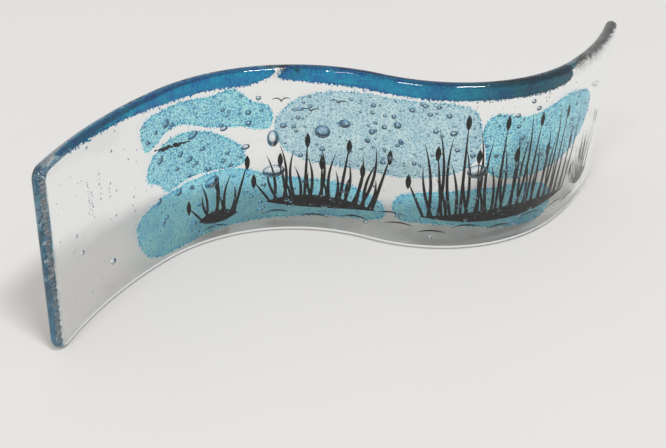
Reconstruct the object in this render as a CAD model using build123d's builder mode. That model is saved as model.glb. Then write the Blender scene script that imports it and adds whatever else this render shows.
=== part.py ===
from build123d import *
import os
from math import atan2, cos, sin

# A free-standing panel of kiln-fused glass, bent into an S in plan, standing on its bottom edge.
# Two clear sheets hold blue inlays and a black enamel print between them.
# Lengths are in millimetres. X runs along the panel, Y away from the viewer, Z up. The origin is
# the centre of the panel's outer box, on the floor. Offsets across the panel are measured from
# the surface between the two sheets, to the back (+) or to the front (-).

# Panel
panel_height = 87.5
sheet_thickness = 3
corner_radius = 6
edge_rounding = 2.4

# Plan of the surface between the sheets, from the left end to the right end
left_lead_radius = 200
left_lead_length = 80
hump_radius = 82.5
hump_length = 107.5
trough_radius = 77.5
trough_length = 100
right_lead_radius = 162.5
right_lead_length = 62.5

# Layers between the sheets
inlay_thickness = 0.5
print_thickness = 0.2

# Strokes of the print
blade_width = 1.25
blade_bow = 2.75
clump_spread = 11.25
reed_head_width = 2.5
reed_head_height = 8
mound_rise = 6.8
ripple_length = 14
ripple_width = 0.7
ripple_rise = 1
bird_span = 9
bird_rise = 1.6
bird_body = 0.9

# How far a pocket's cutter runs past the face it opens, and how near counts as on a face
cutting_overrun = 1
tolerance = 0.001

RIGHT_TURN, LEFT_TURN = -1, 1
bends = (
    (left_lead_radius, left_lead_length, RIGHT_TURN),
    (hump_radius, hump_length, RIGHT_TURN),
    (trough_radius, trough_length, LEFT_TURN),
    (right_lead_radius, right_lead_length, LEFT_TURN),
)
panel_length = sum(length for radius, length, turn in bends)

# Outlines of the inlays, as shares of the panel's developed length and of its height
inlay_shares = {
    "top_strip_left": (
        (0.045, 0.976), (0.06, 0.983), (0.12, 0.984), (0.22, 0.984), (0.32, 0.984),
        (0.375, 0.982), (0.395, 0.965), (0.378, 0.925), (0.33, 0.911), (0.26, 0.917),
        (0.19, 0.938), (0.12, 0.954), (0.06, 0.966),
    ),
    "top_strip_right": (
        (0.403, 0.95), (0.415, 0.98), (0.47, 0.984), (0.57, 0.984), (0.68, 0.984),
        (0.77, 0.984), (0.808, 0.975), (0.812, 0.93), (0.79, 0.902), (0.74, 0.90),
        (0.65, 0.905), (0.56, 0.907), (0.47, 0.909), (0.425, 0.918),
    ),
    "sky_arch": (
        (0.195, 0.79), (0.20, 0.865), (0.226, 0.885), (0.259, 0.892), (0.292, 0.88),
        (0.315, 0.878), (0.336, 0.892), (0.352, 0.86), (0.366, 0.81), (0.388, 0.77),
        (0.389, 0.655), (0.357, 0.667), (0.327, 0.689), (0.297, 0.72), (0.259, 0.774),
        (0.235, 0.761), (0.219, 0.722), (0.203, 0.706),
    ),
    "sky_lobe": (
        (0.205, 0.61), (0.209, 0.51), (0.226, 0.47), (0.232, 0.43), (0.26, 0.437),
        (0.29, 0.45), (0.33, 0.44), (0.354, 0.455), (0.353, 0.525), (0.342, 0.583),
        (0.315, 0.654), (0.283, 0.703), (0.259, 0.714), (0.238, 0.703), (0.217, 0.665),
    ),
    "sky_centre": (
        (0.399, 0.60), (0.402, 0.715), (0.43, 0.815), (0.47, 0.86), (0.52, 0.878),
        (0.575, 0.882), (0.64, 0.876), (0.663, 0.835), (0.672, 0.72), (0.668, 0.55),
        (0.62, 0.455), (0.53, 0.43), (0.44, 0.45),
    ),
    "sky_right": (
        (0.679, 0.77), (0.69, 0.81), (0.724, 0.782), (0.768, 0.785), (0.81, 0.82),
        (0.845, 0.797), (0.875, 0.75), (0.885, 0.64), (0.86, 0.50), (0.80, 0.42),
        (0.73, 0.415), (0.69, 0.47), (0.681, 0.62),
    ),
    "sea_left": (
        (0.178, 0.29), (0.182, 0.19), (0.20, 0.085), (0.27, 0.05), (0.33, 0.077),
        (0.42, 0.09), (0.50, 0.114), (0.553, 0.165), (0.547, 0.25), (0.505, 0.31),
        (0.45, 0.33), (0.39, 0.36), (0.355, 0.41), (0.298, 0.425), (0.238, 0.40),
        (0.20, 0.365),
    ),
    "sea_right": (
        (0.585, 0.16), (0.63, 0.16), (0.69, 0.13), (0.76, 0.09), (0.80, 0.13), (0.80, 0.24),
        (0.76, 0.345), (0.69, 0.37), (0.62, 0.355), (0.572, 0.30), (0.568, 0.21),
    ),
}

# Clumps of reeds: left and right end, foot and top as shares of the panel, and count of blades
clump_shares = {
    "tall_reeds": (0.60, 0.84, 0.20, 0.80, 38),
    "middle_reeds": (0.385, 0.542, 0.19, 0.58, 25),
    "left_tuft": (0.285, 0.345, 0.15, 0.46, 9),
    "right_tuft": (0.87, 0.925, 0.17, 0.50, 9),
}
shortest_blade_share = 0.35
golden_share = 0.618
blades_per_head = 4

# Middles of the ripples and of the birds, as shares of the panel's developed length and height
ripple_shares = (
    (0.31, 0.08), (0.40, 0.115), (0.455, 0.09), (0.515, 0.115), (0.575, 0.13), (0.62, 0.10),
    (0.665, 0.135), (0.715, 0.11), (0.765, 0.135), (0.82, 0.12), (0.565, 0.19), (0.86, 0.095),
)
bird_shares = ((0.405, 0.80), (0.445, 0.74), (0.482, 0.80), (0.875, 0.67), (0.905, 0.73))


def walk(distance, heading):
    """Plan point and heading after a developed length, from the left end at zero."""
    x, y = 0, 0
    for radius, length, turn in bends:
        step = min(distance, length)
        turned = heading + turn * step / radius
        x += turn * radius * (sin(turned) - sin(heading))
        y -= turn * radius * (cos(turned) - cos(heading))
        heading = turned
        distance -= step
    return x, y, heading


# The panel is turned until its two ends are level along X.
far_x, far_y, far_heading = walk(panel_length, 0)
start_heading = -atan2(far_y, far_x)


def beside(distance, offset):
    """Plan point at a developed length and an offset, from the left end at zero."""
    x, y, heading = walk(distance, start_heading)
    return x - offset * sin(heading), y + offset * cos(heading)


# The outer box of the panel in plan, from points along both faces
box_samples = 2000
face_points = [
    beside(panel_length * i / box_samples, side * sheet_thickness)
    for i in range(box_samples + 1)
    for side in (-1, 1)
]
centre_x = (min(x for x, y in face_points) + max(x for x, y in face_points)) / 2
centre_y = (min(y for x, y in face_points) + max(y for x, y in face_points)) / 2


def plan_point(distance, offset=0):
    """Plan point at a developed length and an offset, from the part's origin."""
    x, y = beside(distance, offset)
    return x - centre_x, y - centre_y


def plan_curve(offset):
    """The panel's plan line at one offset, with an arc for each bend."""
    start = 0
    for radius, length, turn in bends:
        ThreePointArc(
            plan_point(start, offset),
            plan_point(start + length / 2, offset),
            plan_point(start + length, offset),
        )
        start += length


def layer_plan(front, back):
    """Plan face of a layer between two offsets."""
    with BuildLine() as outline:
        plan_curve(front)
        plan_curve(back)
        for end in (0, panel_length):
            Line(plan_point(end, front), plan_point(end, back))
    make_face(outline.edges())


def at(along, up):
    """Elevation point above a developed length, at a height."""
    return plan_point(along)[0], up


def patch(shares):
    """A smooth closed outline through points given as shares of the panel."""
    with BuildLine() as outline:
        Spline(
            [at(along * panel_length, up * panel_height) for along, up in shares],
            periodic=True,
        )
    make_face(outline.edges())


def blade(foot, foot_up, tip, tip_up, bow):
    """A bowed blade or stalk that ends in a point."""
    half = blade_width / 2
    middle, middle_up = (foot + tip) / 2 + bow, (foot_up + tip_up) / 2
    with BuildLine() as outline:
        ThreePointArc(at(foot - half, foot_up), at(middle - half, middle_up), at(tip, tip_up))
        ThreePointArc(at(tip, tip_up), at(middle + half, middle_up), at(foot + half, foot_up))
        Line(at(foot + half, foot_up), at(foot - half, foot_up))
    return make_face(outline.edges(), mode=Mode.PRIVATE)


def pointed_oval(left, right, up, low_bow, high_bow):
    """A stroke from one point to another on the same height, between two arcs."""
    middle = (left + right) / 2
    with BuildLine() as outline:
        ThreePointArc(at(left, up), at(middle, up + low_bow), at(right, up))
        ThreePointArc(at(left, up), at(middle, up + high_bow), at(right, up))
    return make_face(outline.edges(), mode=Mode.PRIVATE)


def reed_head(along, up):
    """A ripe head round the tip of a stalk."""
    half_width = reed_head_width / 2
    half_height = reed_head_height / 2
    with BuildLine() as outline:
        for side in (-1, 1):
            ThreePointArc(
                at(along, up - half_height),
                at(along + side * half_width, up),
                at(along, up + half_height),
            )
    return make_face(outline.edges(), mode=Mode.PRIVATE)


def reeds(left_share, right_share, foot_share, top_share, blades):
    """A clump of reeds that fans out from a low mound."""
    left, right = left_share * panel_length, right_share * panel_length
    foot_up, top_up = foot_share * panel_height, top_share * panel_height
    strokes = [pointed_oval(left, right, foot_up, -mound_rise / 2, mound_rise / 2)]
    for i in range(blades):
        across = (i + 1) / (blades + 1)
        chance = i * golden_share % 1
        reach = shortest_blade_share + (1 - shortest_blade_share) * chance
        foot = left + (right - left) * across
        tip = foot + clump_spread * (across - 0.5 + (chance - 0.5) / 2)
        tip_up = foot_up + (top_up - foot_up) * reach
        if i % blades_per_head == 0:
            strokes += [blade(foot, foot_up, tip, tip_up, 0), reed_head(tip, tip_up)]
        else:
            side = 1 if i % 2 else -1
            strokes.append(blade(foot, foot_up, tip, tip_up, side * blade_bow * reach))
    add(strokes)


def ripples():
    """Short bowed strokes on the water."""
    half = ripple_length / 2
    add([
        pointed_oval(
            along * panel_length - half,
            along * panel_length + half,
            up * panel_height,
            ripple_rise,
            ripple_rise + ripple_width,
        )
        for along, up in ripple_shares
    ])


def birds():
    """Far birds on the wing, each one outline of two bowed wings that meet at the body."""
    wing = bird_span / 2
    for along_share, up_share in bird_shares:
        body, up = along_share * panel_length, up_share * panel_height
        crest, belly = at(body, up + bird_body / 2), at(body, up - bird_body / 2)
        with BuildLine() as outline:
            for side in (-1, 1):
                tip = at(body + side * wing, up + bird_rise / 2)
                elbow = body + side * wing / 2
                ThreePointArc(crest, at(elbow, up + bird_rise + bird_body / 4), tip)
                ThreePointArc(tip, at(elbow, up + bird_rise - bird_body / 4), belly)
        make_face(outline.edges())


def layer_solid(elevation, front, back):
    """What an elevation sketch covers of the layer between two offsets."""
    with BuildPart() as layer:
        extrude(elevation, amount=panel_length, both=True)
        with BuildSketch():
            layer_plan(front, back)
        extrude(amount=panel_height, mode=Mode.INTERSECT)
    return layer.part


def is_on_offset(place, offset):
    """Whether a place is the middle of one bend's face at an offset."""
    start = 0
    for radius, length, turn in bends:
        x, y = plan_point(start + length / 2, offset)
        if abs(place.X - x) < tolerance and abs(place.Y - y) < tolerance:
            return True
        start += length
    return False


def round_outer_face(offset):
    """Round off a sheet's corners, then its outer face all round."""
    fillet(edges().filter_by(GeomType.LINE).filter_by(Axis.Z, reverse=True), corner_radius)
    outer_faces = faces().filter_by(lambda face: is_on_offset(face.center(), offset))
    rim = [
        edge for edge in outer_faces.edges()
        if sum(edge in face.edges() for face in outer_faces) == 1
    ]
    fillet(rim, edge_rounding)


drawings = {}
for name, shares in inlay_shares.items():
    drawings[name] = lambda shares=shares: patch(shares)
for name, shares in clump_shares.items():
    drawings[name] = lambda shares=shares: reeds(*shares)
drawings["water_ripples"] = ripples
drawings["bird_flock"] = birds

os.makedirs("parts", exist_ok=True)

# Blue inlays, sunk into the inner face of the back sheet, and print, sunk into the front sheet's
back_pockets, front_pockets = [], []
for name, draw in drawings.items():
    with BuildSketch(Plane.XZ) as elevation:
        draw()
    if name in inlay_shares:
        piece = layer_solid(elevation.sketch, 0, inlay_thickness)
        back_pockets.append(layer_solid(elevation.sketch, -cutting_overrun, inlay_thickness))
    else:
        piece = layer_solid(elevation.sketch, -print_thickness, 0)
        front_pockets.append(layer_solid(elevation.sketch, -print_thickness, cutting_overrun))
    piece.label = name
    export_step(piece, f"parts/{name}.step")

# Clear sheet on the viewer's side
with BuildPart() as front_sheet:
    with BuildSketch():
        layer_plan(-sheet_thickness, 0)
    extrude(amount=panel_height)
    round_outer_face(-sheet_thickness)
    add(front_pockets, mode=Mode.SUBTRACT)
front_sheet.part.label = "front_sheet"
export_step(front_sheet.part, "parts/front_sheet.step")

# Clear sheet behind it
with BuildPart() as back_sheet:
    with BuildSketch():
        layer_plan(0, sheet_thickness)
    extrude(amount=panel_height)
    round_outer_face(sheet_thickness)
    add(back_pockets, mode=Mode.SUBTRACT)
back_sheet.part.label = "back_sheet"
export_step(back_sheet.part, "parts/back_sheet.step")
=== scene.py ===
import math
import random

import bmesh
import bpy
from mathutils import Matrix, Vector, noise
from mathutils.bvhtree import BVHTree
from mathutils.kdtree import KDTree


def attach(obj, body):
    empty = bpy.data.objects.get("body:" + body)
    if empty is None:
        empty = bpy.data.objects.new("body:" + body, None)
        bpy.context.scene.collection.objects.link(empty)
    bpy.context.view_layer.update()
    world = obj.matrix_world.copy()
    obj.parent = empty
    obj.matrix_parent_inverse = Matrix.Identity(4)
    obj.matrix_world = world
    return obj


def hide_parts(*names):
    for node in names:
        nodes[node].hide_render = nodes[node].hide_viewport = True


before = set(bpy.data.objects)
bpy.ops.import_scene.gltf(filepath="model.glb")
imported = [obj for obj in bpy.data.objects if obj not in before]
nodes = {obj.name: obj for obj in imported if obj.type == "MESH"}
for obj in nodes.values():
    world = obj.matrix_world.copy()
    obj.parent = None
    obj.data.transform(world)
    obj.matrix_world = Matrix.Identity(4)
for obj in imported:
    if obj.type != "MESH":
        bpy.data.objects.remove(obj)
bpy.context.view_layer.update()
MM = 0.001

# The panel, as its solids have it
HEIGHT = 87.5 * MM
HALF_THICKNESS = 3 * MM
CORNER_RADIUS = 6 * MM
RIGHT_TURN, LEFT_TURN = -1, 1
BENDS = (
    (200 * MM, 80 * MM, RIGHT_TURN),
    (82.5 * MM, 107.5 * MM, RIGHT_TURN),
    (77.5 * MM, 100 * MM, LEFT_TURN),
    (162.5 * MM, 62.5 * MM, LEFT_TURN),
)
LENGTH = sum(length for radius, length, turn in BENDS)


def walk(distance, heading):
    """Plan point and heading after a developed length, from the left end at zero."""
    x, y = 0, 0
    for radius, length, turn in BENDS:
        step = min(distance, length)
        turned = heading + turn * step / radius
        x += turn * radius * (math.sin(turned) - math.sin(heading))
        y -= turn * radius * (math.cos(turned) - math.cos(heading))
        heading = turned
        distance -= step
    return x, y, heading


far_x, far_y = walk(LENGTH, 0)[:2]
START_HEADING = -math.atan2(far_y, far_x)


def beside(distance, offset):
    """Plan point at a developed length and an offset, from the left end at zero."""
    x, y, heading = walk(distance, START_HEADING)
    return x - offset * math.sin(heading), y + offset * math.cos(heading)


PLAN_SAMPLES = 2000
face_points = [
    beside(LENGTH * i / PLAN_SAMPLES, side * HALF_THICKNESS)
    for i in range(PLAN_SAMPLES + 1)
    for side in (-1, 1)
]
CENTRE_X = (min(x for x, y in face_points) + max(x for x, y in face_points)) / 2
CENTRE_Y = (min(y for x, y in face_points) + max(y for x, y in face_points)) / 2


def in_panel(along, up, offset):
    """Place at a developed length, a height and an offset to the back (+) or the front (-)."""
    x, y = beside(along, offset)
    return Vector((x - CENTRE_X, y - CENTRE_Y, up))


# Clear glass body, its rim melted rounder than in the solids

CELL = 1.25 * MM
EDGE_ROUNDING = 2.9 * MM
RIM_STEPS = 7
CORNER_STEPS = 6
RIPPLE_DEPTH = 0.12 * MM
RIPPLE_LENGTH = 16 * MM
RIPPLE_FADE = 8 * MM
# Shift in the noise that gives each face ripples of its own
FACE_SHIFT = 7


def ripple(along, up, side):
    """Slight unevenness of a fire-polished face, fading out at the rim."""
    inset = min(along, LENGTH - along, up, HEIGHT - up)
    fade = min(max(inset / RIPPLE_FADE, 0), 1)
    place = Vector((along / RIPPLE_LENGTH, up / RIPPLE_LENGTH, FACE_SHIFT * side))
    return RIPPLE_DEPTH * fade * noise.noise(place)


def body_mesh():
    """The panel's closed skin: two face grids joined by a rounded rim."""
    inset = CORNER_RADIUS
    columns = round((LENGTH - 2 * inset) / CELL)
    rows = round((HEIGHT - 2 * inset) / CELL)
    points, faces = [], []

    def add(along, up, thickness_share, side):
        offset = side * (HALF_THICKNESS * thickness_share + ripple(along, up, side))
        points.append(in_panel(along, up, offset))
        return len(points) - 1

    # Anchors on the inner rectangle, each with its outward direction
    corners = (
        (0, 0, columns, 1, 0, -90),
        (columns, 0, rows, 0, 1, 0),
        (columns, rows, columns, -1, 0, 90),
        (0, rows, rows, 0, -1, 180),
    )
    anchors = []
    for column, row, count, step_x, step_z, angle in corners:
        for i in range(1, count):
            anchors.append((column + i * step_x, row + i * step_z, math.radians(angle)))
        for k in range(CORNER_STEPS + 1):
            turn = angle + 90 * k / CORNER_STEPS
            end = (column + count * step_x, row + count * step_z)
            anchors.append((*end, math.radians(turn)))

    def spot(column, row):
        return (
            inset + (LENGTH - 2 * inset) * column / columns,
            inset + (HEIGHT - 2 * inset) * row / rows,
        )

    def ring(depth, thickness_share, side):
        made = []
        for column, row, angle in anchors:
            along, up = spot(column, row)
            reach = inset - depth
            along += reach * math.cos(angle)
            up += reach * math.sin(angle)
            made.append(add(along, up, thickness_share, side))
        return made

    equator = ring(0, 0, 1)
    for side in (-1, 1):
        rings = [equator]
        for k in range(1, RIM_STEPS + 1):
            turn = math.pi / 2 * k / RIM_STEPS
            rings.append(ring(EDGE_ROUNDING * (1 - math.cos(turn)), math.sin(turn), side))
        grid = [
            [add(*spot(column, row), 1, side) for row in range(rows + 1)]
            for column in range(columns + 1)
        ]
        rings.append([grid[column][row] for column, row, angle in anchors])
        for outer, inner in zip(rings, rings[1:]):
            for i in range(len(anchors)):
                j = (i + 1) % len(anchors)
                loop = [outer[i], outer[j], inner[j], inner[i]]
                if inner[i] == inner[j]:
                    loop.pop()
                faces.append(loop if side < 0 else loop[::-1])
        for i in range(columns):
            for j in range(rows):
                loop = [grid[i][j], grid[i + 1][j], grid[i + 1][j + 1], grid[i][j + 1]]
                faces.append(loop if side < 0 else loop[::-1])
    return points, faces


def mesh_object(name, skin):
    """A smooth object from a skin, which is a pair of points and faces."""
    points, faces = skin
    mesh = bpy.data.meshes.new(name)
    mesh.from_pydata(points, [], faces)
    mesh.polygons.foreach_set("use_smooth", [True] * len(mesh.polygons))
    obj = bpy.data.objects.new(name, mesh)
    bpy.context.scene.collection.objects.link(obj)
    return obj


def ball(subdivisions):
    """Points and faces of a unit ball."""
    made = bmesh.new()
    bmesh.ops.create_icosphere(made, subdivisions=subdivisions, radius=1)
    points = [vertex.co.copy() for vertex in made.verts]
    faces = [[vertex.index for vertex in face.verts] for face in made.faces]
    made.free()
    return points, faces


coarse, medium, fine = ball(2), ball(3), ball(4)


def add_ball(skin, unit, along, up, offset, half_sizes, tilt=0, hollow=True):
    """Adds a stretched ball to a skin, as a bubble's wall facing inward or as a solid grain."""
    points, faces = skin
    unit_points, unit_faces = unit
    heading = walk(along, START_HEADING)[2]
    middle = in_panel(along, up, offset)
    forward = Vector((math.cos(heading), math.sin(heading), 0))
    back = Vector((-math.sin(heading), math.cos(heading), 0))
    lift = Vector((0, 0, 1))
    long_way = forward * math.cos(tilt) + lift * math.sin(tilt)
    cross_way = lift * math.cos(tilt) - forward * math.sin(tilt)
    first = len(points)
    for p in unit_points:
        points.append(
            middle
            + long_way * (p.x * half_sizes[0])
            + cross_way * (p.y * half_sizes[1])
            + back * (p.z * half_sizes[2])
        )
    flip = (long_way.cross(cross_way).dot(back) > 0) == hollow
    for face in unit_faces:
        loop = [first + i for i in face]
        faces.append(loop[::-1] if flip else loop)


# The larger bubbles: along, up, half-length, half-height in mm, and tilt in degrees
LARGE_BUBBLES = (
    (82.9, 70.9, 2.2, 1.9, 30), (97.9, 60.2, 3.0, 1.6, 25), (114.1, 59.6, 2.1, 1.4, 15),
    (78.6, 54.1, 2.1, 1.5, 30), (90.6, 52.9, 1.8, 1.2, 30), (95.6, 48.5, 2.1, 1.4, 25),
    (102.9, 51.8, 1.6, 1.1, 25), (126.2, 60.2, 1.6, 1.5, 0), (126.0, 65.6, 1.5, 1.4, 0),
    (131.0, 72.5, 1.4, 1.2, 0), (138.0, 51.0, 2.9, 4.4, 0), (124.8, 47.9, 2.2, 1.5, 15),
    (106.0, 40.1, 1.6, 1.2, 20), (107.5, 32.9, 4.0, 2.8, 25), (88.8, 33.5, 2.2, 1.6, 25),
    (76.6, 33.8, 2.2, 1.6, 30), (138.5, 33.4, 5.5, 3.5, 5), (161.5, 54.8, 3.8, 3.4, 0),
    (171.9, 60.2, 2.9, 2.2, 0), (142.8, 57.5, 1.8, 1.5, 0), (131.8, 12.5, 1.8, 1.4, 0),
    (163.8, 14.6, 1.9, 1.5, 0), (170.0, 14.2, 1.5, 1.2, 0), (197.1, 64.4, 1.9, 1.8, 0),
    (185.2, 58.5, 1.6, 1.5, 0), (183.4, 53.6, 1.5, 1.4, 0), (222.5, 62.8, 1.8, 1.5, 0),
    (203.1, 73.1, 1.5, 1.2, 0), (219.8, 71.6, 1.4, 1.2, 0), (263.8, 71.0, 1.6, 1.2, 0),
    (252.5, 69.6, 1.4, 1.1, 0), (235.4, 42.5, 5.0, 3.6, 0), (149.5, 65.9, 3.1, 0.9, 0),
    (44.8, 19.0, 1.8, 1.6, 0),
)
LARGE_BUBBLE_OFFSET = -0.3 * MM
DEEPEST_HALF = 2.2 * MM
FINE_BALL_FROM = 2.5 * MM

# Seed bubbles, kept clear of the ends and edges; few of those over clear glass stay
SEEDS = 1800
SEED_RADIUS = 0.2 * MM
LARGEST_SEED = 1.15 * MM
MEDIUM_BALL_FROM = 0.55 * MM
SEED_WALL = 0.2 * MM
SEED_STRETCH = 1.3
SEED_TILT = 0.6
CLEAR_OF_ENDS = 8 * MM
CLEAR_OF_EDGES = 6 * MM
CLEAR_SEED_SHARE = 0.07

# Seeds lined up in rows: along, lowest and highest in mm, and how many
SEED_ROWS = (
    (31.5, 50, 66, 12), (33.5, 48, 60, 8), (39.5, 54, 66, 6), (46, 52, 58, 4),
    (60, 30, 44, 5), (268, 74, 80, 5),
)
ROW_SCATTER = 0.7
ROW_SEED_RADII = (0.25, 0.5)
ROW_SEED_STRETCH = 1.8
ROW_SEED_OFFSET = -1.2 * MM

# Painted reflection and shade: how blue the wall of a bubble is painted over an inlay and over clear
# glass, standing for the blue glass it reflects and the shade below, how fast the blue rises towards
# the bubble's rim, and its level and slope from top to bottom
WALL_OVER_INLAY = 1.0
WALL_OVER_CLEAR = 0.55
WALL_RISE = 2.2
WALL_LEVEL = 0.7
WALL_SLOPE = 0.3


def painted_wall_blue(unit, share):
    """Share of painted blue reflection and shade at each point of a bubble's wall, most at its rim
    and below.
    """
    return [
        share * min(WALL_RISE * (1 - abs(p.z)), 1) * (WALL_LEVEL - WALL_SLOPE * p.y)
        for p in unit[0]
    ]


def glass_body():
    """The fused body with its bubbles, each wall marked with its share of painted blue reflection
    and shade.
    """
    skin = body_mesh()
    shares = [0] * len(skin[0])
    dice = random.Random(11)
    trees = [
        BVHTree.FromPolygons(
            [v.co for v in node.data.vertices], [p.vertices for p in node.data.polygons]
        )
        for name, node in nodes.items() if name[:3] in ("sky", "sea")
    ]

    def over_inlay(along, up):
        start = in_panel(along, up, -2 * HALF_THICKNESS)
        way = in_panel(along, up, 2 * HALF_THICKNESS) - start
        return any(tree.ray_cast(start, way.normalized())[0] for tree in trees)

    def add_bubble(blue, unit, *place_and_size):
        add_ball(skin, unit, *place_and_size)
        shares.extend(painted_wall_blue(unit, blue))

    for *measures, tilt in LARGE_BUBBLES:
        along, up, half_length, half_height = (measure * MM for measure in measures)
        blue = WALL_OVER_INLAY if over_inlay(along, up) else WALL_OVER_CLEAR
        unit = fine if half_length > FINE_BALL_FROM else medium
        sizes = (half_length, half_height, min(half_height, DEEPEST_HALF))
        add_bubble(blue, unit, along, up, LARGE_BUBBLE_OFFSET, sizes, math.radians(tilt))
    placed = 0
    while placed < SEEDS:
        along = dice.uniform(CLEAR_OF_ENDS, LENGTH - CLEAR_OF_ENDS)
        up = dice.uniform(CLEAR_OF_EDGES, HEIGHT - CLEAR_OF_EDGES)
        blue = WALL_OVER_INLAY if over_inlay(along, up) else 0
        if not blue and dice.random() > CLEAR_SEED_SHARE:
            continue
        # Many small and few large: the share above a radius falls with its square.
        radius = min(SEED_RADIUS * (1 - dice.random()) ** -0.5, LARGEST_SEED)
        room = HALF_THICKNESS - radius - SEED_WALL
        offset = -dice.uniform(min(radius, room), room)
        sizes = (radius * dice.uniform(1, SEED_STRETCH), radius, radius)
        unit = medium if radius > MEDIUM_BALL_FROM else coarse
        add_bubble(blue, unit, along, up, offset, sizes, dice.uniform(-SEED_TILT, SEED_TILT))
        placed += 1
    for row, lowest, highest, count in SEED_ROWS:
        for i in range(count):
            up = (lowest + (highest - lowest) * i / (count - 1)) * MM
            radius = dice.uniform(*ROW_SEED_RADII) * MM
            sizes = (radius, radius * dice.uniform(1, ROW_SEED_STRETCH), radius)
            along = (row + dice.uniform(-ROW_SCATTER, ROW_SCATTER)) * MM
            add_bubble(0, coarse, along, up, ROW_SEED_OFFSET, sizes)
    made = mesh_object("fused_glass", skin)
    made.data.attributes.new("painted_blue_share", "FLOAT", "POINT").data.foreach_set("value", shares)
    return made


# Frit grains that melted out past the outlines of the blue inlays

GRAIN_SPACING = 0.55 * MM
GRAIN_SPREAD = 0.45 * MM
GRAIN_RADII = (0.14 * MM, 0.42 * MM)
GRAIN_STRETCH = 1.6
GRAIN_HALF_DEPTH = 0.2 * MM
INLAY_MIDDLE = 0.25 * MM
HIGHEST_GRAIN = 85.5 * MM
SHARP_TURN = math.radians(40)
MERGE_DISTANCE = 0.001 * MM

plan = KDTree(PLAN_SAMPLES + 1)
for i in range(PLAN_SAMPLES + 1):
    plan.insert(in_panel(LENGTH * i / PLAN_SAMPLES, 0, 0), i)
plan.balance()


def frit(name, inlays):
    """Grains along the outlines of some inlays."""
    skin = ([], [])
    dice = random.Random(5)
    for node in inlays:
        inlay = bmesh.new()
        inlay.from_mesh(node.data)
        bmesh.ops.remove_doubles(inlay, verts=inlay.verts, dist=MERGE_DISTANCE)
        for edge in inlay.edges:
            if len(edge.link_faces) < 2 or edge.calc_face_angle() < SHARP_TURN:
                continue
            here, there = (vertex.co for vertex in edge.verts)
            for i in range(int((there - here).length / GRAIN_SPACING + dice.random())):
                place = here.lerp(there, dice.random())
                index = plan.find((place.x, place.y, 0))[1]
                along = LENGTH * index / PLAN_SAMPLES + dice.gauss(0, GRAIN_SPREAD)
                up = min(place.z + dice.gauss(0, GRAIN_SPREAD), HIGHEST_GRAIN)
                radius = dice.uniform(*GRAIN_RADII)
                sizes = (radius * dice.uniform(1, GRAIN_STRETCH), radius, GRAIN_HALF_DEPTH)
                tilt = dice.uniform(0, math.pi)
                add_ball(skin, coarse, along, up, INLAY_MIDDLE, sizes, tilt, hollow=False)
        inlay.free()
    return mesh_object(name, skin)


# A ragged black flake by the two inlays on the left: along, up, half-length, half-height in mm

FLAKE = (
    (72.2, 65.6, 1.2, 0.5), (76.0, 60.6, 1.0, 0.4), (78.6, 59.9, 1.4, 0.7), (81.0, 59.4, 1.6, 1.2),
    (83.4, 59.3, 1.5, 1.0), (85.4, 58.7, 1.3, 0.6), (87.8, 58.9, 1.6, 1.1), (90.2, 58.3, 1.5, 0.8),
    (92.6, 58.2, 1.5, 0.5), (95.0, 58.2, 1.3, 0.4),
)
FLAKE_TILTS = (-0.5, 0.7)
FLAKE_OFFSET = -1 * MM
FLAKE_HALF_DEPTH = 0.3 * MM
FLAKE_JAG = 0.3 * MM
FLAKE_GRAIN = 1.4 * MM


def flake():
    skin = ([], [])
    dice = random.Random(3)
    for measures in FLAKE:
        along, up, half_length, half_height = (measure * MM for measure in measures)
        sizes = (half_length, half_height, FLAKE_HALF_DEPTH)
        tilt = dice.uniform(*FLAKE_TILTS)
        add_ball(skin, medium, along, up, FLAKE_OFFSET, sizes, tilt, hollow=False)
    for point in skin[0]:
        point.z += FLAKE_JAG * noise.noise(point / FLAKE_GRAIN)
    return mesh_object("black_flake", skin)


# Pale feathery strokes in the front half of the rim at the left end, with ranges in mm

STROKES = 420
STROKE_HALF_LENGTHS = (0.5, 1.5)
STROKE_GAPS = (0.7, 1.5)
STROKE_OFFSETS = (-1.6, -0.4)
STROKE_TILT = 0.15
STROKE_HALF_HEIGHT = 0.13 * MM
STROKE_HALF_DEPTH = 0.06 * MM


def feathers():
    skin = ([], [])
    dice = random.Random(9)
    for i in range(STROKES):
        half_length = dice.uniform(*STROKE_HALF_LENGTHS) * MM
        along = half_length + dice.uniform(*STROKE_GAPS) * MM
        up = dice.uniform(CORNER_RADIUS, HEIGHT - CORNER_RADIUS)
        offset = dice.uniform(*STROKE_OFFSETS) * MM
        sizes = (half_length, STROKE_HALF_HEIGHT, STROKE_HALF_DEPTH)
        tilt = dice.uniform(-STROKE_TILT, STROKE_TILT)
        add_ball(skin, coarse, along, up, offset, sizes, tilt, hollow=False)
    return mesh_object("rim_feathers", skin)


# Node helpers

def material(name):
    """A new material and its empty node tree."""
    made = bpy.data.materials.new(name)
    made.use_nodes = True
    made.node_tree.nodes.clear()
    return made, made.node_tree


def add_node(tree, kind, inputs=(), **settings):
    """A new node, with inputs that are values or other nodes' outputs."""
    node = tree.nodes.new(kind)
    for key, value in settings.items():
        setattr(node, key, value)
    for key, value in dict(inputs).items():
        if isinstance(value, bpy.types.NodeSocket):
            tree.links.new(value, node.inputs[key])
        else:
            node.inputs[key].default_value = value
    return node


def object_place(tree):
    """The shaded point in the object's own coordinates."""
    return add_node(tree, "ShaderNodeTexCoord").outputs["Object"]


def mottle(tree, place, scale, **details):
    """Noise of a given scale."""
    inputs = {"Vector": place, "Scale": scale, **details}
    return add_node(tree, "ShaderNodeTexNoise", inputs).outputs[0]


def ramp(tree, value, limits, start=0.0, end=1.0):
    """A value between two limits, mapped to start...end and held beyond them."""
    return add_node(tree, "ShaderNodeMapRange", {
        "Value": value, "From Min": limits[0], "From Max": limits[1], "To Min": start, "To Max": end,
    }).outputs[0]


def maths(tree, operation, *values):
    """The result of one operation."""
    return add_node(tree, "ShaderNodeMath", enumerate(values), operation=operation).outputs[0]


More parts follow.
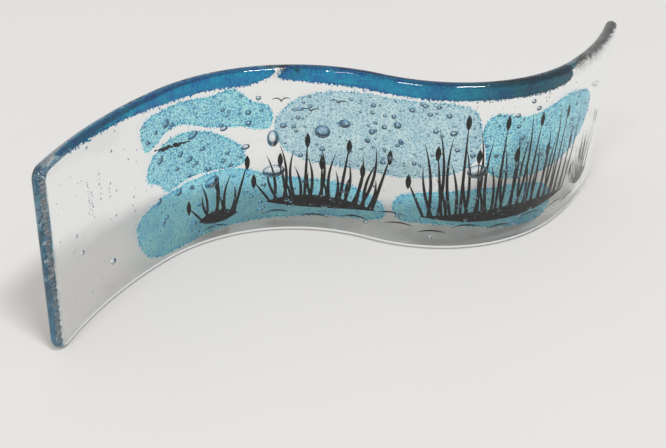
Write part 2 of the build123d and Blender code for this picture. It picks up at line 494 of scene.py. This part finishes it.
def mixed(tree, share, first, second, blend_type="MIX"):
    """Two colours mixed by a share of the second."""
    return add_node(
        tree, "ShaderNodeMix", {0: share, 6: first, 7: second}, data_type="RGBA",
        blend_type=blend_type,
    ).outputs[2]


def see_through_shadow(tree, shader, tint):
    """Gives the material a shader whose shadow lets tinted light through."""
    path = add_node(tree, "ShaderNodeLightPath")
    clear = add_node(tree, "ShaderNodeBsdfTransparent", {"Color": tint})
    both = add_node(tree, "ShaderNodeMixShader", {
        0: path.outputs["Is Shadow Ray"], 1: shader.outputs[0], 2: clear.outputs[0],
    })
    add_node(tree, "ShaderNodeOutputMaterial", {"Surface": both.outputs[0]})


# Materials

# Where the rim of the clear glass is painted: the heights of the painted dark reflection, its reach
# at the right end and about the gap between the two top strips, and the left rim with its back half
# of painted blue reflection and its corners of painted shade
DARK_RIM_HEIGHTS = (80 * MM, 86 * MM)
DARK_RIGHT_END = (92 * MM, 100 * MM)
STRIP_GAP_X = -21 * MM
DARK_ABOUT_GAP = (3 * MM, 9 * MM)
LEFT_RIM = (-149 * MM, -152 * MM)
BACK_HALF = (-0.3 * MM, 0.7 * MM)
CORNERS_FROM_MIDDLE = (40.5 * MM, 42.5 * MM)

BARELY_GREEN = (0.975, 0.99, 0.985, 1)
PAINTED_DARK_RIM = (0.10, 0.10, 0.10, 1)
PAINTED_RIM_BLUE = (0.30, 0.76, 0.97, 1)
PAINTED_CORNER_SHADE = (0.12, 0.12, 0.12, 1)
PAINTED_BUBBLE_BLUE = (0.0, 0.33, 0.74, 1)
CLEAR_SHADOW = (0.62, 0.605, 0.585, 1)


def clear_glass():
    made, tree = material("clear_glass")
    place = object_place(tree)
    wave = mottle(tree, place, 260.0, Detail=3.0)
    bump = add_node(tree, "ShaderNodeBump", {
        "Height": wave, "Strength": 0.25, "Distance": 0.1 * MM,
    })
    x, y, z = add_node(tree, "ShaderNodeSeparateXYZ", {0: place}).outputs
    # Painted dark reflection: the rim is darkened in blotches at the right end, standing for the
    # black print reflected inside it, and about the gap between the two top strips.
    from_gap = maths(tree, "ABSOLUTE", maths(tree, "SUBTRACT", x, STRIP_GAP_X))
    about_gap = ramp(tree, from_gap, DARK_ABOUT_GAP, 1.0, 0.0)
    patches = maths(tree, "MAXIMUM", ramp(tree, x, DARK_RIGHT_END), about_gap)
    blotches = ramp(tree, mottle(tree, place, 420.0, Detail=3.0), (0.4, 0.6), 0.3)
    dark_rim = maths(tree, "MULTIPLY", patches, blotches)
    dark_rim = maths(tree, "MULTIPLY", dark_rim, ramp(tree, z, DARK_RIM_HEIGHTS))
    tint = mixed(tree, dark_rim, BARELY_GREEN, PAINTED_DARK_RIM)
    # Painted reflection: the rim at the left end is tinted, on its back half, with the blue of the
    # glass behind it that it shows.
    painted_left_rim = ramp(tree, x, LEFT_RIM)
    middle = in_panel(0, 0, 0).y
    back_half = ramp(tree, y, [middle + limit for limit in BACK_HALF])
    tint = mixed(tree, maths(tree, "MULTIPLY", painted_left_rim, back_half), tint, PAINTED_RIM_BLUE)
    # Painted shade: its two corners are darkened.
    from_middle = maths(tree, "ABSOLUTE", maths(tree, "SUBTRACT", z, HEIGHT / 2))
    corners = ramp(tree, from_middle, CORNERS_FROM_MIDDLE)
    tint = mixed(tree, maths(tree, "MULTIPLY", painted_left_rim, corners), tint, PAINTED_CORNER_SHADE)
    # Painted reflection and shade: the walls of the bubbles are tinted with the blue of the glass
    # around them.
    share = add_node(tree, "ShaderNodeAttribute", attribute_name="painted_blue_share").outputs["Fac"]
    tint = mixed(tree, share, tint, PAINTED_BUBBLE_BLUE)
    glass = add_node(tree, "ShaderNodeBsdfPrincipled", {
        "Base Color": tint, "Roughness": 0.0, "IOR": 1.52,
        "Transmission Weight": 1.0, "Normal": bump.outputs[0],
    })
    see_through_shadow(tree, glass, CLEAR_SHADOW)
    return made


# Where the tints of a blue glass's two ends fade in, the right end's tint, where given, being a
# painted dark reflection of the print, and how pale its shadow is
LEFT_FADE = (-98 * MM, -130 * MM)
RIGHT_FADE = (15 * MM, 65 * MM)
SHADOW_PALENESS = 0.75
WHITE = (1, 1, 1, 1)


def blue_glass(name, pale, deep, froth, clear_share=0.94, left_end=WHITE, right_print_reflection=WHITE):
    """Blue inlay, clouded by froth too fine to model one by one."""
    made, tree = material(name)
    place = object_place(tree)
    # Drawn out a little from front to back, but not so far that the froth streaks on a steep bend
    face = add_node(tree, "ShaderNodeVectorMath", {0: place, 1: (1, 0.7, 1)}, operation="MULTIPLY")
    cells = add_node(tree, "ShaderNodeTexVoronoi", {
        "Vector": face.outputs[0], "Scale": 900.0, "Randomness": 0.85,
    })
    cloud = mottle(tree, place, 120.0, Detail=4.0, Roughness=0.6)
    specks = ramp(tree, cells.outputs["Distance"], (0.25, 0.55), froth, 0.0)
    drift = ramp(tree, cloud, (0.35, 0.65), 0.0, 1 - froth)
    colour = mixed(tree, maths(tree, "ADD", specks, drift), pale, deep)
    x = add_node(tree, "ShaderNodeSeparateXYZ", {0: place}).outputs[0]
    colour = mixed(tree, ramp(tree, x, LEFT_FADE), colour, left_end, "MULTIPLY")
    # Painted dark reflection of the print towards the right end.
    colour = mixed(tree, ramp(tree, x, RIGHT_FADE), colour, right_print_reflection, "MULTIPLY")
    glass = add_node(tree, "ShaderNodeBsdfPrincipled", {
        "Base Color": colour, "Roughness": 0.0, "IOR": 1.0, "Transmission Weight": clear_share,
    })
    tint = tuple(SHADOW_PALENESS + (1 - SHADOW_PALENESS) * c for c in pale)
    see_through_shadow(tree, glass, tint)
    return made


def opaque(name, scale, first, second, roughness, ior=1.5):
    """An opaque material whose colour drifts between two."""
    made, tree = material(name)
    colour = mixed(tree, mottle(tree, object_place(tree), scale), first, second)
    shader = add_node(tree, "ShaderNodeBsdfPrincipled", {
        "Base Color": colour, "Roughness": roughness, "IOR": ior,
    })
    add_node(tree, "ShaderNodeOutputMaterial", {"Surface": shader.outputs[0]})
    return made


# Pieces and their looks; a node of the solids takes the first look its name starts with

LOOKS = {
    "sky_centre": blue_glass("pale_sky_glass", (0.76, 0.97, 1.0, 1), (0.20, 0.50, 0.70, 1), 0.75),
    "sky": blue_glass("sky_glass", (0.52, 0.98, 1.0, 1), (0.03, 0.32, 0.66, 1), 0.82),
    "sea": blue_glass("sea_glass", (0.50, 0.99, 1.0, 1), (0.13, 0.58, 0.95, 1), 0.6),
    # The deep blue strips darken towards their right end as a painted dark reflection of the print.
    "top": blue_glass(
        "deep_blue_glass", (0.0, 0.26, 0.76, 1), (0.0, 0.82, 1.0, 1), 0.5, clear_share=0.6,
        left_end=(1.0, 0.92, 0.82, 1), right_print_reflection=(0.9, 0.4, 0.33, 1),
    ),
}
enamel = opaque(
    "black_enamel", 1500.0, (0.001, 0.001, 0.001, 1), (0.012, 0.009, 0.009, 1), 0.5, ior=1.0
)
pale_froth = opaque("pale_froth", 900.0, (0.80, 0.84, 0.86, 1), (0.95, 0.96, 0.96, 1), 0.6, ior=1.0)


def dress(piece, look):
    """Gives a piece its material and lets it ride on the root body."""
    piece.data.materials.append(look)
    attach(piece, "root")


body = glass_body()
dress(body, clear_glass())
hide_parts("front_sheet", "back_sheet")
dress(flake(), enamel)
dress(feathers(), pale_froth)
for name, node in nodes.items():
    look = next((LOOKS[start] for start in LOOKS if name.startswith(start)), enamel)
    node.data.materials.clear()
    node.data.materials.append(look)
for start, look in LOOKS.items():
    inlays = [node for node in nodes.values() if node.data.materials[0] == look]
    dress(frit(start + "_frit", inlays), look)

# Floor

FLOOR_HALF = 3
floor_corners = [
    (side_x * FLOOR_HALF, side_y * FLOOR_HALF, 0)
    for side_x, side_y in ((-1, -1), (1, -1), (1, 1), (-1, 1))
]
floor_mesh = bpy.data.meshes.new("floor")
floor_mesh.from_pydata(floor_corners, [], [(0, 1, 2, 3)])
floor = bpy.data.objects.new("floor", floor_mesh)
bpy.context.scene.collection.objects.link(floor)
floor_mesh.materials.append(
    opaque("floor", 6.0, (0.80, 0.79, 0.775, 1), (0.82, 0.81, 0.795, 1), 0.6)
)

# Lights

LAMP_DISTANCE = 8
LAMP_WIDTH, LAMP_DEPTH = 2.4, 0.9


def lamp(name, azimuth, elevation, watts):
    """A soft lamp that looks at the panel from angles in degrees."""
    data = bpy.data.lights.new(name, "AREA")
    data.shape = "ELLIPSE"
    data.size = LAMP_WIDTH
    data.size_y = LAMP_DEPTH
    data.energy = watts
    a, e = math.radians(azimuth), math.radians(elevation)
    direction = Vector((math.cos(e) * math.cos(a), math.cos(e) * math.sin(a), math.sin(e)))
    place = LAMP_DISTANCE * direction
    obj = bpy.data.objects.new(name, data)
    obj.location = place
    obj.rotation_euler = (-place).to_track_quat("-Z", "Y").to_euler()
    bpy.context.scene.collection.objects.link(obj)


lamp("front_light", -86, 62, 402)
lamp("left_light", -147, 47, 196)

# A pale room, seen in the glass but adding little light
ROOM_LIGHT, ROOM_SEEN = 0.2, 0.75
world = bpy.data.worlds.new("room")
world.use_nodes = True
tree = world.node_tree
background = tree.nodes["Background"]
background.inputs[0].default_value = (1.0, 0.985, 0.97, 1)
rays = add_node(tree, "ShaderNodeLightPath").outputs
seen = maths(tree, "MAXIMUM", rays["Is Camera Ray"], rays["Is Glossy Ray"])
seen = maths(tree, "MAXIMUM", seen, rays["Is Transmission Ray"])
tree.links.new(ramp(tree, seen, (0.0, 1.0), ROOM_LIGHT, ROOM_SEEN), background.inputs[1])
bpy.context.scene.world = world

# Camera, at the photograph's place: millimetres, degrees and pixels of the photograph

CAMERA_PLACE = (-273.849, -367.411, 304.693)
HEADING, PITCH, ROLL = (math.radians(angle) for angle in (54.4403, 32.7296, 2.6589))
PHOTO_WIDTH = 666
FOCAL_PIXELS = 1136.37
SENSOR_WIDTH = 36

camera_data = bpy.data.cameras.new("camera")
camera_data.sensor_width = SENSOR_WIDTH
camera_data.lens = SENSOR_WIDTH * FOCAL_PIXELS / PHOTO_WIDTH
camera_data.clip_start = 10 * MM
camera = bpy.data.objects.new("camera", camera_data)
bpy.context.scene.collection.objects.link(camera)
forward = Vector((
    math.cos(HEADING) * math.cos(PITCH), math.sin(HEADING) * math.cos(PITCH), -math.sin(PITCH)
))
level_right = Vector((math.sin(HEADING), -math.cos(HEADING), 0))
level_up = level_right.cross(forward)
right = level_right * math.cos(ROLL) + level_up * math.sin(ROLL)
up = level_up * math.cos(ROLL) - level_right * math.sin(ROLL)
turned = Matrix((right, up, -forward)).transposed()
camera.matrix_world = Matrix.Translation(Vector(CAMERA_PLACE) * MM) @ turned.to_4x4()
bpy.context.scene.camera = camera

scene = bpy.context.scene
scene.view_settings.view_transform = "Standard"
scene.cycles.max_bounces = 32
scene.cycles.transmission_bounces = 32
scene.cycles.glossy_bounces = 24
scene.cycles.transparent_max_bounces = 64
# The tinted shadow stands for the light that the glass lets through.
scene.cycles.caustics_refractive = False
scene.cycles.caustics_reflective = False
